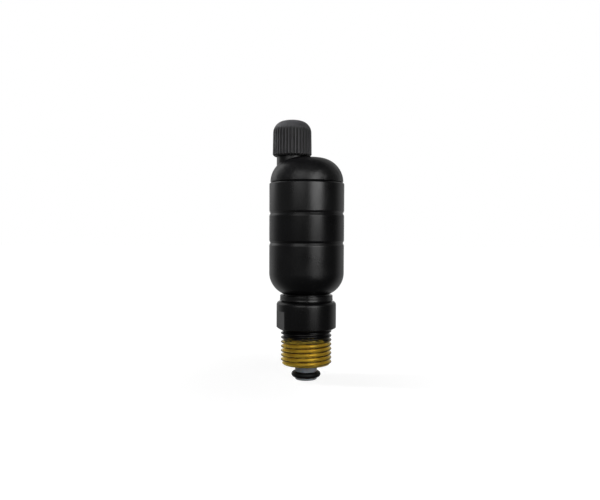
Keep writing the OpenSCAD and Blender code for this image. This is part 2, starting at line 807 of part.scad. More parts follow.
check_body();
check_plunger();
plunger_o_ring();
plunger_spring();
joint_washer();
vent_body();
vent_cover();
cover_o_ring();
seat_insert();
seat_washer();
lever_bracket();
pivot_pin();
float_lever();
float_pin();
float_shell();
float_plug();
valve_stem();
stem_pad();
stem_clip();
stem_collar();
stem_spring();
vent_cap();
cap_gasket();
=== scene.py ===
import math

import bmesh
import bpy
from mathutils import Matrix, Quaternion, Vector


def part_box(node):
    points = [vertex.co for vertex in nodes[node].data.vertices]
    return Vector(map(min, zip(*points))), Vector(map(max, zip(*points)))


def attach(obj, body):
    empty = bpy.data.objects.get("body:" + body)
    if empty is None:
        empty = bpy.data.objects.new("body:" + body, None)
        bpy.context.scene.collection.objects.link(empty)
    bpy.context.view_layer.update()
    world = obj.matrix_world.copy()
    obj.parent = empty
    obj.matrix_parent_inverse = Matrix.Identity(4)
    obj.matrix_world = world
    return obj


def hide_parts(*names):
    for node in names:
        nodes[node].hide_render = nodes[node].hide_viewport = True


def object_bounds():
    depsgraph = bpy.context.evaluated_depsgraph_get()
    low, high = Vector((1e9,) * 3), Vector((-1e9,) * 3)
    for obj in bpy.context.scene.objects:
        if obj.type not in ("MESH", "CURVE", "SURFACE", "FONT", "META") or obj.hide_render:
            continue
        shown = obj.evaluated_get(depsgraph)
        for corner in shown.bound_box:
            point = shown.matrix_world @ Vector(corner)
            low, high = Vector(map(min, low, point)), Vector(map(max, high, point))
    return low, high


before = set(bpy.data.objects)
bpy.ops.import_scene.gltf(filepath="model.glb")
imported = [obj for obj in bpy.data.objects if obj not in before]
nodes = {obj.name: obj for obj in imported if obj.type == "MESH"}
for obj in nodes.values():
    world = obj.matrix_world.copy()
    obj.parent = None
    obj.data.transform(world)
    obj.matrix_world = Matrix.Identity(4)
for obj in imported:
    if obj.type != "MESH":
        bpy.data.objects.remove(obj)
cad_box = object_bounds()

# Check valve body
# Forged and turned brass under satin black paint, with two wrench flats and a G1/2 pipe thread below.
# The thread is masked while the body is sprayed, so it is bare brass from about its third turn down.
MM = 0.001
COLUMNS = 192
WELD = 0.001 * MM
crease_angle = 24

check_low, check_high = (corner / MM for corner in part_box("check_body"))
check_r = check_high.y
inlet_r = 20.955 / 2
inlet_pitch = 25.4 / 14
inlet_depth = 1.162
inlet_chamfer, inlet_run_out = 0.9, 0.5
inlet_crest_z = -1.72
underside_low, underside_high = 0.65, 1.6
flat_reach = 22.9 / 2
flat_turn = 22.0
flat_top, flat_step = 8.7, 0.001
shoulder_r = 1.5
socket_r, socket_z = 8.381, 2.9
passage_r = 6.7
lip_r, lip_z, lip_h = 5.0, -12.1, 1.3
seat_mouth_r = 6.5


def linear(hex_colour):
    """An sRGB hex colour as the linear colour that Blender's sockets take."""
    channels = [int(hex_colour[i : i + 2], 16) / 255 for i in (1, 3, 5)]
    return [c / 12.92 if c <= 0.04045 else ((c + 0.055) / 1.055) ** 2.4 for c in channels] + [1.0]


def fill(tree, node, values):
    """Fills a node's inputs: a value that is a socket is linked, any other is set on the input."""
    for key, value in values.items():
        if isinstance(value, bpy.types.NodeSocket):
            tree.links.new(value, node.inputs[key])
        else:
            node.inputs[key].default_value = value


def add_node(tree, kind, values=None, **settings):
    """Adds a node with its settings, and fills its inputs."""
    node = tree.nodes.new(kind)
    for key, value in settings.items():
        setattr(node, key, value)
    fill(tree, node, values or {})
    return node


def new_finish(name):
    """Starts a material: returns it with its node tree, its shader and the place that its patterns read."""
    finish = bpy.data.materials.new(name)
    finish.use_nodes = True
    tree = finish.node_tree
    where = add_node(tree, "ShaderNodeTexCoord").outputs["Object"]
    return finish, tree, tree.nodes["Principled BSDF"], where


def eased(corners, steps=6):
    """An outline of (radius, height, rounding) corners in mm, each drawn as an arc of that rounding.
    An arc takes up no more than about half of the shorter side next to it."""
    most = 0.48
    points = []
    for i, (r, z, rounding) in enumerate(corners):
        here = Vector((r, z))
        if not rounding or i in (0, len(corners) - 1):
            points.append((r, z))
            continue
        to_last = Vector(corners[i - 1][:2]) - here
        to_next = Vector(corners[i + 1][:2]) - here
        half = to_last.angle(to_next) / 2
        reach = min(rounding / math.tan(half), most * to_last.length, most * to_next.length)
        start, end = here + to_last.normalized() * reach, here + to_next.normalized() * reach
        for step in range(steps + 1):
            t = step / steps
            weights = ((1 - t) ** 2, 2 * math.sin(half) * t * (1 - t), t**2)
            spot = (start * weights[0] + here * weights[1] + end * weights[2]) / sum(weights)
            points.append((spot.x, spot.y))
    return points


def arc(r, z, radius, start, end, steps=24):
    """Corners along a round stretch of an outline, from its centre, radius and angles in degrees."""
    turns = [math.radians(start + (end - start) * i / steps) for i in range(steps + 1)]
    return [(r + radius * math.cos(t), z + radius * math.sin(t), 0) for t in turns]


def turn(bm, outline, shape=None, columns=COLUMNS, axis_x=0.0, closed=False):
    """Turns an outline about a vertical axis into a bmesh; shape(r, z, angle) may change a radius."""
    rings = []
    for r, z in outline:
        ring = []
        for column in range(columns):
            angle = math.tau * column / columns
            reach = shape(r, z, angle) if shape else r
            spot = Vector((axis_x + reach * math.cos(angle), reach * math.sin(angle), z))
            ring.append(bm.verts.new(spot * MM))
        rings.append(ring)
    for lower, upper in zip(rings, rings[1:] + rings[:1] * closed):
        for a in range(columns):
            b = (a + 1) % columns
            bm.faces.new((lower[a], lower[b], upper[b], upper[a]))


def grow(tree, sizes, mesh):
    """Runs a Geometry Nodes tree on a mesh with the tree's named sizes; returns a plain mesh."""
    holder = bpy.data.objects.new(tree.name, mesh)
    bpy.context.scene.collection.objects.link(holder)
    modifier = holder.modifiers.new(tree.name, "NODES")
    modifier.node_group = tree
    for item in tree.interface.items_tree:
        if item.in_out == "INPUT" and item.name in sizes:
            modifier[item.identifier] = sizes[item.name]
    depsgraph = bpy.context.evaluated_depsgraph_get()
    grown = bpy.data.meshes.new_from_object(holder.evaluated_get(depsgraph), depsgraph=depsgraph)
    bpy.data.objects.remove(holder)
    return grown


def set_piece(name, bm, material, body, slot, *cad_nodes):
    """Closes a mesh's seams and poles, shades it, and sets it on its body in place of its CAD nodes."""
    bmesh.ops.remove_doubles(bm, verts=bm.verts, dist=WELD)
    for edge in [edge for edge in bm.edges if edge.is_wire]:
        bm.edges.remove(edge)
    mesh = bpy.data.meshes.new(name)
    bm.to_mesh(mesh)
    bm.free()
    mesh.materials.clear()
    mesh.materials.append(material)
    mesh.polygons.foreach_set("material_index", [0] * len(mesh.polygons))
    mesh.shade_smooth()
    mesh.set_sharp_from_angle(angle=math.radians(crease_angle))
    piece = bpy.data.objects.new(name, mesh)
    bpy.context.scene.collection.objects.link(piece)
    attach(piece, body)
    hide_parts(*cad_nodes)


# The thread's generator: a sheet sheared along the helix, so that its rows follow the crests and roots.
thread_start = 0.3
rows_per_turn = 16
thread = bpy.data.node_groups.new("pipe_thread", "GeometryNodeTree")
for name, kind in (
    ("Major Radius", "Float"),
    ("Depth", "Float"),
    ("Pitch", "Float"),
    ("Low End", "Float"),
    ("High End", "Float"),
    ("Lead Chamfer", "Float"),
    ("Run Out", "Float"),
    ("First Crest", "Float"),
    ("Turns", "Int"),
    ("Columns", "Int"),
    ("Rows", "Int"),
    ("Finish", "Material"),
):
    thread.interface.new_socket(name, in_out="INPUT", socket_type="NodeSocket" + kind)
thread.interface.new_socket("Thread", in_out="OUTPUT", socket_type="NodeSocketGeometry")
given = add_node(thread, "NodeGroupInput").outputs
across = add_node(thread, "ShaderNodeMath", {0: given["Columns"], 1: 1}, operation="ADD").outputs[0]
along = add_node(thread, "ShaderNodeMath", {0: given["Rows"], 1: 1}, operation="ADD").outputs[0]
sheet = add_node(
    thread, "GeometryNodeMeshGrid", {"Size X": 1, "Size Y": 1, "Vertices X": across, "Vertices Y": along}
).outputs["Mesh"]
place = add_node(thread, "GeometryNodeInputPosition").outputs[0]
place = add_node(thread, "ShaderNodeSeparateXYZ", {0: place}).outputs
around = add_node(thread, "ShaderNodeMath", {0: place["X"], 1: 0.5}, operation="ADD").outputs[0]
angle = add_node(thread, "ShaderNodeMath", {0: around, 1: math.tau}, operation="MULTIPLY").outputs[0]
up = add_node(thread, "ShaderNodeMath", {0: place["Y"], 1: 0.5}, operation="ADD").outputs[0]
crest = add_node(thread, "ShaderNodeMath", {0: up, 1: given["Turns"]}, operation="MULTIPLY").outputs[0]
helix = add_node(thread, "ShaderNodeMath", {0: crest, 1: around}, operation="ADD").outputs[0]
height = add_node(
    thread,
    "ShaderNodeMath",
    {0: helix, 1: given["Pitch"], 2: given["First Crest"]},
    operation="MULTIPLY_ADD",
).outputs[0]
height = add_node(
    thread, "ShaderNodeClamp", {"Value": height, "Min": given["Low End"], "Max": given["High End"]}
).outputs[0]
wave = add_node(thread, "ShaderNodeMath", {0: crest, 1: math.tau}, operation="MULTIPLY").outputs[0]
wave = add_node(thread, "ShaderNodeMath", {0: wave}, operation="COSINE").outputs[0]
wave = add_node(thread, "ShaderNodeMath", {0: wave, 1: -0.5, 2: 0.5}, operation="MULTIPLY_ADD").outputs[0]
groove = add_node(thread, "ShaderNodeMath", {0: wave, 1: given["Depth"]}, operation="MULTIPLY").outputs[0]
fade_z = add_node(
    thread, "ShaderNodeMath", {0: given["High End"], 1: given["Run Out"]}, operation="SUBTRACT"
).outputs[0]
fade = add_node(
    thread, "ShaderNodeMapRange", {"Value": height, 1: fade_z, 2: given["High End"], 3: 1.0, 4: 0.0}
).outputs[0]
start_z = add_node(
    thread, "ShaderNodeMath", {0: given["Low End"], 1: thread_start * MM}, operation="ADD"
).outputs[0]
start = add_node(
    thread, "ShaderNodeMapRange", {"Value": height, 1: given["Low End"], 2: start_z, 3: 0.0, 4: 1.0}
).outputs[0]
groove = add_node(thread, "ShaderNodeMath", {0: groove, 1: fade}, operation="MULTIPLY").outputs[0]
groove = add_node(thread, "ShaderNodeMath", {0: groove, 1: start}, operation="MULTIPLY").outputs[0]
lead = add_node(thread, "ShaderNodeMath", {0: given["Low End"], 1: height}, operation="SUBTRACT").outputs[0]
lead = add_node(thread, "ShaderNodeMath", {0: lead, 1: given["Lead Chamfer"]}, operation="ADD").outputs[0]
groove = add_node(thread, "ShaderNodeMath", {0: groove, 1: lead}, operation="MAXIMUM").outputs[0]
reach = add_node(
    thread, "ShaderNodeMath", {0: given["Major Radius"], 1: groove}, operation="SUBTRACT"
).outputs[0]
cos = add_node(thread, "ShaderNodeMath", {0: angle}, operation="COSINE").outputs[0]
sin = add_node(thread, "ShaderNodeMath", {0: angle}, operation="SINE").outputs[0]
x = add_node(thread, "ShaderNodeMath", {0: reach, 1: cos}, operation="MULTIPLY").outputs[0]
y = add_node(thread, "ShaderNodeMath", {0: reach, 1: sin}, operation="MULTIPLY").outputs[0]
spot = add_node(thread, "ShaderNodeCombineXYZ", {"X": x, "Y": y, "Z": height}).outputs[0]
bent = add_node(thread, "GeometryNodeSetPosition", {"Geometry": sheet, "Position": spot}).outputs[0]
closed = add_node(thread, "GeometryNodeMergeByDistance", {"Geometry": bent, "Distance": WELD}).outputs[0]
real = add_node(thread, "GeometryNodeRealizeInstances", {"Geometry": closed}).outputs[0]
coated = add_node(
    thread, "GeometryNodeSetMaterial", {"Geometry": real, "Material": given["Finish"]}
).outputs[0]
add_node(thread, "NodeGroupOutput", {0: coated})


def cut_thread(
    bm, finish, major, pitch, depth, low, high, chamfer, run_out, crest, axis_x=0.0, lead_up=False
):
    """Adds a thread between two heights in mm to a bmesh; crest is the height of one crest at angle 0.
    Its chamfered lead is at the low end, or at the high end where lead_up is set."""
    flip = -1 if lead_up else 1
    low, high = sorted((flip * low, flip * high))
    spare = 0.01
    first = flip * crest - math.ceil((flip * crest - low) / pitch + 1 + spare) * pitch
    turns = math.ceil((high - first) / pitch + spare)
    sizes = {
        "Major Radius": major * MM,
        "Depth": depth * MM,
        "Pitch": pitch * MM,
        "Low End": low * MM,
        "High End": high * MM,
        "Lead Chamfer": chamfer * MM,
        "Run Out": run_out * MM,
        "First Crest": first * MM,
        "Turns": turns,
        "Columns": COLUMNS,
        "Rows": turns * rows_per_turn,
        "Finish": finish,
    }
    mesh = grow(thread, sizes, bpy.data.meshes.new("thread"))
    for vertex in mesh.vertices:
        x, y, z = vertex.co
        vertex.co = (x + axis_x * MM, flip * y, flip * z)
    bm.from_mesh(mesh)


# Satin black spray paint over brass, and bare turned brass below the mask's edge: near-black with a soft
# gloss that shows the studio, then warm yellow metal whose crests carry a painted dark band, broken up by
# noise: painted shade and dark reflection, which leaves the flanks looking bright. The brass has a thin skin
# of oxide, which scatters light, so it isn't wholly metallic.
paint_edge, bare_edge = -0.3, -2.1
flank_r, shaded_crest_r = 10.0, 10.4
bare_metallic = 0.7
painted_thread, tree, shader, where = new_finish("satin_paint_and_turned_brass")
axes = add_node(tree, "ShaderNodeSeparateXYZ", {0: where}).outputs
blotch = add_node(
    tree, "ShaderNodeTexNoise", {"Vector": where, "Scale": 1 / (4 * MM), "Detail": 3}
).outputs[0]
grain = add_node(
    tree, "ShaderNodeTexNoise", {"Vector": where, "Scale": 1 / (0.7 * MM), "Detail": 2}
).outputs[0]
along = add_node(tree, "ShaderNodeMapping", {"Vector": where, "Scale": (0.3, 0.3, 1.4)}).outputs[0]
worn = add_node(
    tree, "ShaderNodeTexNoise", {"Vector": along, "Scale": 1 / (0.8 * MM), "Detail": 2}
).outputs[0]
edge = add_node(
    tree, "ShaderNodeMath", {0: blotch, 1: 1.4 * MM, 2: axes["Z"]}, operation="MULTIPLY_ADD"
).outputs[0]
edge = add_node(tree, "ShaderNodeMath", {0: worn, 1: 5 * MM, 2: edge}, operation="MULTIPLY_ADD").outputs[0]
edge = add_node(
    tree, "ShaderNodeMath", {0: axes["Y"], 1: 0.12, 2: edge}, operation="MULTIPLY_ADD"
).outputs[0]
flat_spot = add_node(tree, "ShaderNodeCombineXYZ", {"X": axes["X"], "Y": axes["Y"]}).outputs[0]
radius = add_node(tree, "ShaderNodeVectorMath", {0: flat_spot}, operation="LENGTH").outputs["Value"]
bare = add_node(
    tree, "ShaderNodeMapRange", {"Value": edge, 1: paint_edge * MM, 2: bare_edge * MM, 3: 0.0, 4: 1.0}
).outputs[0]
# The crests are darkened towards #3a2a0e as painted shade and dark reflection, not by the die.
crest = add_node(
    tree, "ShaderNodeMapRange", {"Value": radius, 1: flank_r * MM, 2: shaded_crest_r * MM, 3: 0.0, 4: 1.0}
).outputs[0]
# This noise only breaks up the painted shade on the crests; it is not wear.
crest_shade_break = add_node(tree, "ShaderNodeMapRange", {"Value": worn, 1: 0.3, 2: 0.52, 3: 0.6, 4: 1.0}).outputs[0]
crest = add_node(tree, "ShaderNodeMath", {0: crest, 1: crest_shade_break}, operation="MULTIPLY").outputs[0]
paint = add_node(
    tree, "ShaderNodeMix", {0: blotch, 6: linear("#070708"), 7: linear("#0c0c0d")}, data_type="RGBA"
).outputs[2]
brass = add_node(
    tree, "ShaderNodeMix", {0: blotch, 6: linear("#f0d858"), 7: linear("#d4ae42")}, data_type="RGBA"
).outputs[2]
brass = add_node(
    tree, "ShaderNodeMix", {0: crest, 6: brass, 7: linear("#3a2a0e")}, data_type="RGBA"
).outputs[2]
colour = add_node(tree, "ShaderNodeMix", {0: bare, 6: paint, 7: brass}, data_type="RGBA").outputs[2]
satin = add_node(tree, "ShaderNodeMapRange", {"Value": grain, 1: 0.3, 2: 0.7, 3: 0.27, 4: 0.36}).outputs[0]
gloss = add_node(tree, "ShaderNodeMath", {0: bare, 1: 0.05, 2: satin}, operation="MULTIPLY_ADD").outputs[0]
bump = add_node(
    tree, "ShaderNodeBump", {"Strength": 0.25, "Distance": 0.02 * MM, "Height": grain}
).outputs[0]
metal = add_node(tree, "ShaderNodeMath", {0: bare, 1: bare_metallic}, operation="MULTIPLY").outputs[0]
fill(tree, shader, {"Base Color": colour, "Roughness": gloss, "Normal": bump})
fill(tree, shader, {"Metallic": metal, "Specular IOR Level": 0.4})


def wrench_flats(r, z, angle):
    """Cuts the body's two flats, which stop below the shoulder."""
    if z >= flat_top:
        return r
    facing = abs(math.cos(angle - math.radians(flat_turn)))
    return min(r, flat_reach / facing) if facing > 0.5 else r


cone_h = underside_high - underside_low
bm = bmesh.new()
turn(
    bm,
    eased(
        [
            *[(inlet_r + (check_r - inlet_r) * i / 8, underside_low + cone_h * i / 8, 0) for i in range(8)],
            (check_r, underside_high, 0.25),
            (check_r, flat_top - flat_step, 0),
            (check_r, flat_top, 0),
            (check_r, check_high.z, shoulder_r),
            (socket_r, check_high.z, 0.3),
            (socket_r, socket_z, 0),
            (passage_r, socket_z, 0.2),
            (passage_r, lip_z + lip_h, 0),
            (lip_r, lip_z + lip_h, 0.15),
            (lip_r, lip_z, 0.15),
            (seat_mouth_r, check_low.z, 0.2),
            (inlet_r - inlet_chamfer, check_low.z, 0),
        ]
    ),
    wrench_flats,
)
cut_thread(
    bm,
    painted_thread,
    inlet_r,
    inlet_pitch,
    inlet_depth,
    check_low.z,
    underside_low,
    inlet_chamfer,
    inlet_run_out,
    inlet_crest_z,
)
set_piece("check_valve_body", bm, painted_thread, "check_valve", "black_painted_brass", "check_body")

# Check plunger
# White acetal, moulded in one piece: a notched head under the vent, a ribbed stem, and the tip below the
# thread. It hangs in the check valve's lip and is held down by the vent's spigot against its spring.
plunger_low, plunger_high = (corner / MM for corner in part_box("check_plunger"))
plunger_r = 4.53
plunger_head_r, plunger_head_h, plunger_head_middle_r = 6.3, 1.6, 4.0
ring_groove_r, ring_groove_low, ring_groove_high = 3.68, -18.975, -16.625
plunger_rib_r, plunger_rib_w, plunger_rib_z = 4.8, 1.2, -12.1
rib_step = 0.02
notch_centre, notch_r = 7.1, 1.6
plunger_head_z = plunger_high.z - plunger_head_h

# Acetal, moulded: a cool white with a waxy, faintly see-through surface and soft flow marks.
acetal, tree, shader, where = new_finish("moulded_acetal")
cloud = add_node(
    tree, "ShaderNodeTexNoise", {"Vector": where, "Scale": 1 / (3 * MM), "Detail": 2}
).outputs[0]
grain = add_node(tree, "ShaderNodeTexNoise", {"Vector": where, "Scale": 1 / (0.6 * MM)}).outputs[0]
colour = add_node(
    tree, "ShaderNodeMix", {0: cloud, 6: linear("#989ea5"), 7: linear("#a8adb3")}, data_type="RGBA"
).outputs[2]
gloss = add_node(tree, "ShaderNodeMapRange", {"Value": cloud, 1: 0.3, 2: 0.7, 3: 0.32, 4: 0.42}).outputs[0]
bump = add_node(
    tree, "ShaderNodeBump", {"Strength": 0.15, "Distance": 0.02 * MM, "Height": grain}
).outputs[0]
fill(tree, shader, {"Base Color": colour, "Roughness": gloss, "Normal": bump, "IOR": 1.48})
fill(tree, shader, {"Subsurface Weight": 0.15, "Subsurface Scale": 0.6 * MM})


def ribs_and_notches(r, z, angle):
    """Raises the stem's four guide ribs and cuts the head's four flow notches."""
    if z < plunger_head_z - rib_step / 2:
        if z < plunger_rib_z or r < plunger_r - rib_step / 2:
            return r
        off = abs(angle % (math.pi / 2) - math.pi / 4)
        return max(r, min(plunger_rib_r, plunger_rib_w / 2 / max(math.sin(off), 1e-6)))
    off = abs((angle + math.pi / 4) % (math.pi / 2) - math.pi / 4)
    side = notch_centre * math.sin(off)
    if side >= notch_r:
        return r
    return min(r, notch_centre * math.cos(off) - math.sqrt(notch_r**2 - side**2))


bm = bmesh.new()
turn(
    bm,
    eased(
        [
            (0, plunger_low.z, 0),
            (plunger_r, plunger_low.z, 0.45),
            (plunger_r, ring_groove_low, 0.12),
            (ring_groove_r, ring_groove_low, 0.1),
            (ring_groove_r, ring_groove_high, 0.1),
            (plunger_r, ring_groove_high, 0.2),
            (plunger_r, plunger_rib_z - rib_step, 0),
            (plunger_r, plunger_rib_z, 0),
            (plunger_r, plunger_head_z - rib_step, 0),
            (plunger_r, plunger_head_z, 0),
            (plunger_head_r, plunger_head_z, 0.15),
            (plunger_head_r, plunger_high.z, 0.2),
            (plunger_head_middle_r, plunger_high.z, 0),
            (0, plunger_high.z, 0),
        ]
    ),
    ribs_and_notches,
)
set_piece("plunger", bm, acetal, "plunger", "white_acetal", "check_plunger")

# Plunger O-ring
# Black nitrile rubber, moulded, and stretched into the plunger's groove.
# It shuts the check valve's mouth when the vent is screwed out.
ring_low, ring_high = (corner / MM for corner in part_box("plunger_o_ring"))
ring_section_r = (ring_high.z - ring_low.z) / 2
ring_r = ring_high.x - ring_section_r

# Nitrile rubber, moulded: black, smooth and slightly greasy, with a faint grey bloom.
rubber, tree, shader, where = new_finish("moulded_nitrile_rubber")
bloom = add_node(
    tree, "ShaderNodeTexNoise", {"Vector": where, "Scale": 1 / (1.5 * MM), "Detail": 3}
).outputs[0]
colour = add_node(
    tree, "ShaderNodeMix", {0: bloom, 6: linear("#070708"), 7: linear("#0f0f10")}, data_type="RGBA"
).outputs[2]
gloss = add_node(tree, "ShaderNodeMapRange", {"Value": bloom, 1: 0.3, 2: 0.7, 3: 0.46, 4: 0.58}).outputs[0]
fill(tree, shader, {"Base Color": colour, "Roughness": gloss, "IOR": 1.52, "Specular IOR Level": 0.22})

bm = bmesh.new()
section = arc(ring_r, (ring_low.z + ring_high.z) / 2, ring_section_r, 0, 345, 23)
turn(bm, [(r, z) for r, z, _ in section], closed=True)
set_piece("plunger_seal_ring", bm, rubber, "plunger", "black_rubber", "plunger_o_ring")

# Joint washer
# A flat washer, moulded in nitrile rubber, that lies on the check valve's shoulder.
# The vent's collar squeezes it, and it shows as a dark line.
washer_low, washer_high = (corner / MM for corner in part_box("joint_washer"))
washer_bore_r = 8.431
bm = bmesh.new()
outline = eased(
    [
        (washer_bore_r, washer_low.z, 0),
        (washer_high.x, washer_low.z, 0.12),
        (washer_high.x, washer_high.z, 0.12),
        (washer_bore_r, washer_high.z, 0),
    ]
)
turn(bm, outline, closed=True)
set_piece("joint_seal_washer", bm, rubber, "joint_seal", "black_rubber", "joint_washer")

# Vent body
# The float chamber, forged brass turned all over: threaded spigot, collar with a slightly flared foot, bowl
# and a straight side with two grooves. It is sprayed satin black with its cover on, and the spigot screws
# down on the joint washer.
body_low, body_high = (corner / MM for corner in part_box("vent_body"))
body_r = body_high.x
seam_z = body_high.z
spigot_r, spigot_bore_r = 8.331, 5.5
spigot_pitch = 25.4 / 19
spigot_depth = 0.856
spigot_chamfer, spigot_run_out = 0.6, 1.2
spigot_crest_z = body_low.z + 1
collar_r, collar_low, collar_top = 10.85, 12.95, 15.0
collar_flare, collar_flare_h = 0.15, 0.6
neck_r, bowl_foot_r, bowl_low = 9.5, 9.7, 15.5
bowl_r, bowl_centre_r, bowl_centre_z = 9.5, 5.9, 24.207
chamber_r, chamber_bowl_r = 13.0, 7.1
mouth_r, mouth_z = 13.6, 53.957
groove_heights = (36.357, 48.457)
groove_w, groove_depth = 1.9, 0.45
lip_below, groove_root, lip_above = 0.9, 0.3, 0.35
seam_chamfer = 0.45

# Satin black spray paint over turned brass: near-black, with a soft gloss broken by the fine grain of the
# spray and by faint lathe rings, which stand about 0.8 mm apart here so that they show. The middle band is
# the dullest, and the part above it the brightest.
bowl_shine, band_shine, top_shine = 0.5, 0.38, 0.65
turned_paint, tree, shader, where = new_finish("satin_paint_on_turned_brass")
axes = add_node(tree, "ShaderNodeSeparateXYZ", {0: where}).outputs
blotch = add_node(
    tree, "ShaderNodeTexNoise", {"Vector": where, "Scale": 1 / (6 * MM), "Detail": 4}
).outputs[0]
grain = add_node(
    tree, "ShaderNodeTexNoise", {"Vector": where, "Scale": 1 / (0.6 * MM), "Detail": 3}
).outputs[0]
rings = add_node(tree, "ShaderNodeCombineXYZ", {"Z": axes["Z"]}).outputs[0]
rings = add_node(
    tree, "ShaderNodeTexNoise", {"Vector": rings, "Scale": 1 / (0.8 * MM), "Detail": 2}
).outputs[0]
relief = add_node(
    tree, "ShaderNodeMath", {0: rings, 1: 0.35, 2: grain}, operation="MULTIPLY_ADD"
).outputs[0]
colour = add_node(
    tree, "ShaderNodeMix", {0: blotch, 6: linear("#070708"), 7: linear("#0c0c0d")}, data_type="RGBA"
).outputs[2]
gloss = add_node(tree, "ShaderNodeMapRange", {"Value": blotch, 1: 0.3, 2: 0.7, 3: 0.27, 4: 0.35}).outputs[0]
low, high = (
    add_node(tree, "ShaderNodeMath", {0: axes["Z"], 1: z * MM}, operation="GREATER_THAN").outputs[0]
    for z in groove_heights
)
shine = add_node(
    tree, "ShaderNodeMath", {0: low, 1: band_shine - bowl_shine, 2: bowl_shine}, operation="MULTIPLY_ADD"
).outputs[0]
shine = add_node(
    tree, "ShaderNodeMath", {0: high, 1: top_shine - band_shine, 2: shine}, operation="MULTIPLY_ADD"
).outputs[0]
bump = add_node(
    tree, "ShaderNodeBump", {"Strength": 0.2, "Distance": 0.02 * MM, "Height": relief}
).outputs[0]
fill(tree, shader, {"Base Color": colour, "Roughness": gloss, "Normal": bump, "Specular IOR Level": shine})

side = [(body_r, bowl_centre_z, 0)]
for groove_z in groove_heights:
    side += [
        (body_r, groove_z - groove_w / 2, lip_below),
        (body_r - groove_depth, groove_z, groove_root),
        (body_r, groove_z + groove_w / 2, lip_above),
    ]
foot_angle = math.degrees(math.atan2(bowl_low - bowl_centre_z, bowl_foot_r - bowl_centre_r))
bm = bmesh.new()
turn(
    bm,
    eased(
        [
            (spigot_r, collar_low, 0),
            (collar_r + collar_flare, collar_low, 0.12),
            (collar_r, collar_low + collar_flare_h, 0.3),
            (collar_r, collar_top, 0.3),
            (neck_r, collar_top, 0.15),
            (neck_r, bowl_low, 0.15),
            *arc(bowl_centre_r, bowl_centre_z, bowl_r, foot_angle, 0, 36)[:-1],
            *side,
            (body_r, seam_z - seam_chamfer, 0.3),
            (body_r - seam_chamfer, seam_z, 0.15),
            (mouth_r, seam_z, 0.1),
            (mouth_r, mouth_z, 0),
            (chamber_r, mouth_z, 0.1),
            *arc(bowl_centre_r, bowl_centre_z, chamber_bowl_r, 0, -90, 16),
            (spigot_bore_r, bowl_centre_z - chamber_bowl_r, 0.15),
            (spigot_bore_r, body_low.z, 0.2),
            (spigot_r - spigot_chamfer, body_low.z, 0),
        ]
    ),
)
cut_thread(
    bm,
    turned_paint,
    spigot_r,
    spigot_pitch,
    spigot_depth,
    body_low.z,
    collar_low,
    spigot_chamfer,
    spigot_run_out,
    spigot_crest_z,
)
set_piece("vent_chamber", bm, turned_paint, "vent", "black_painted_brass", "vent_body")

# Vent cover
# A forged brass lid that screws into the chamber's mouth: a low dome with an offset chimney and the
# threaded nozzle of the vent. Its dome keeps the slightly uneven skin of the forging under the paint.
cover_low, cover_high = (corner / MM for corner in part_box("vent_cover"))
cap_low, cap_high = (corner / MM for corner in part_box("vent_cap"))
chimney_x = (cap_low.x + cap_high.x) / 2
chimney_fillet = 0.3
nozzle_r, nozzle_bore_r, nozzle_bore_edge = 5.0, 2.6, 0.2
nozzle_pitch, nozzle_depth = 1.5, 0.92
nozzle_chamfer, nozzle_run_out = 0.5, 1.0
dome_r, dome_centre_r, dome_centre_z = 10.1, 4.9, 61.157
dome_edge_r = 14.997
dome_wall = 1.6
ceiling_r, ceiling_centre_r = 8.0, 3.6
ceiling_centre_z = dome_centre_z + dome_r - dome_wall - ceiling_r
chimney_r, chimney_top, chimney_edge = 6.35, dome_centre_z + dome_r + 2.3, 0.3
skirt_r, skirt_bore_r, skirt_chamfer = 13.55, 11.6, 0.4
boss_r, boss_z = 5.2, 66.9605
seat_bore_r, seat_top = 2.21, 70.9605
seam_edge = 0.1
boss_steps, ceiling_steps, touch_steps, dome_steps, fillet_steps = 8, 16, 60, 40, 8

# Satin black spray paint over a forged skin: the same paint, with soft dents 2 mm wide that break up the
# gloss.
forged_paint, tree, shader, where = new_finish("satin_paint_on_forged_brass")
dents = add_node(
    tree, "ShaderNodeTexNoise", {"Vector": where, "Scale": 1 / (2 * MM), "Detail": 2}
).outputs[0]
grain = add_node(
    tree, "ShaderNodeTexNoise", {"Vector": where, "Scale": 1 / (0.6 * MM), "Detail": 3}
).outputs[0]
relief = add_node(tree, "ShaderNodeMath", {0: dents, 1: 3.0, 2: grain}, operation="MULTIPLY_ADD").outputs[0]
colour = add_node(
    tree, "ShaderNodeMix", {0: dents, 6: linear("#070708"), 7: linear("#0c0c0d")}, data_type="RGBA"
).outputs[2]
gloss = add_node(tree, "ShaderNodeMapRange", {"Value": dents, 1: 0.3, 2: 0.7, 3: 0.32, 4: 0.42}).outputs[0]
bump = add_node(
    tree, "ShaderNodeBump", {"Strength": 0.8, "Distance": 0.06 * MM, "Height": relief}
).outputs[0]
fill(tree, shader, {"Base Color": colour, "Roughness": gloss, "Normal": bump})


def from_axis(reach, angle):
    """Distance from the valve's axis of a point that lies so far from the chimney's axis."""
    return math.hypot(chimney_x + reach * math.cos(angle), reach * math.sin(angle))


def from_chimney(radius, angle):
    """Distance from the chimney's axis, at that angle, of a circle about the valve's axis."""
    across = chimney_x * math.cos(angle)
    return math.sqrt(across**2 - chimney_x**2 + radius**2) - across


def crowned(radius, round_r, centre_r, centre_z):
    """Height of a dome with a flat middle and a round edge."""
    return centre_z + math.sqrt(max(round_r**2 - max(radius - centre_r, 0) ** 2, 0))


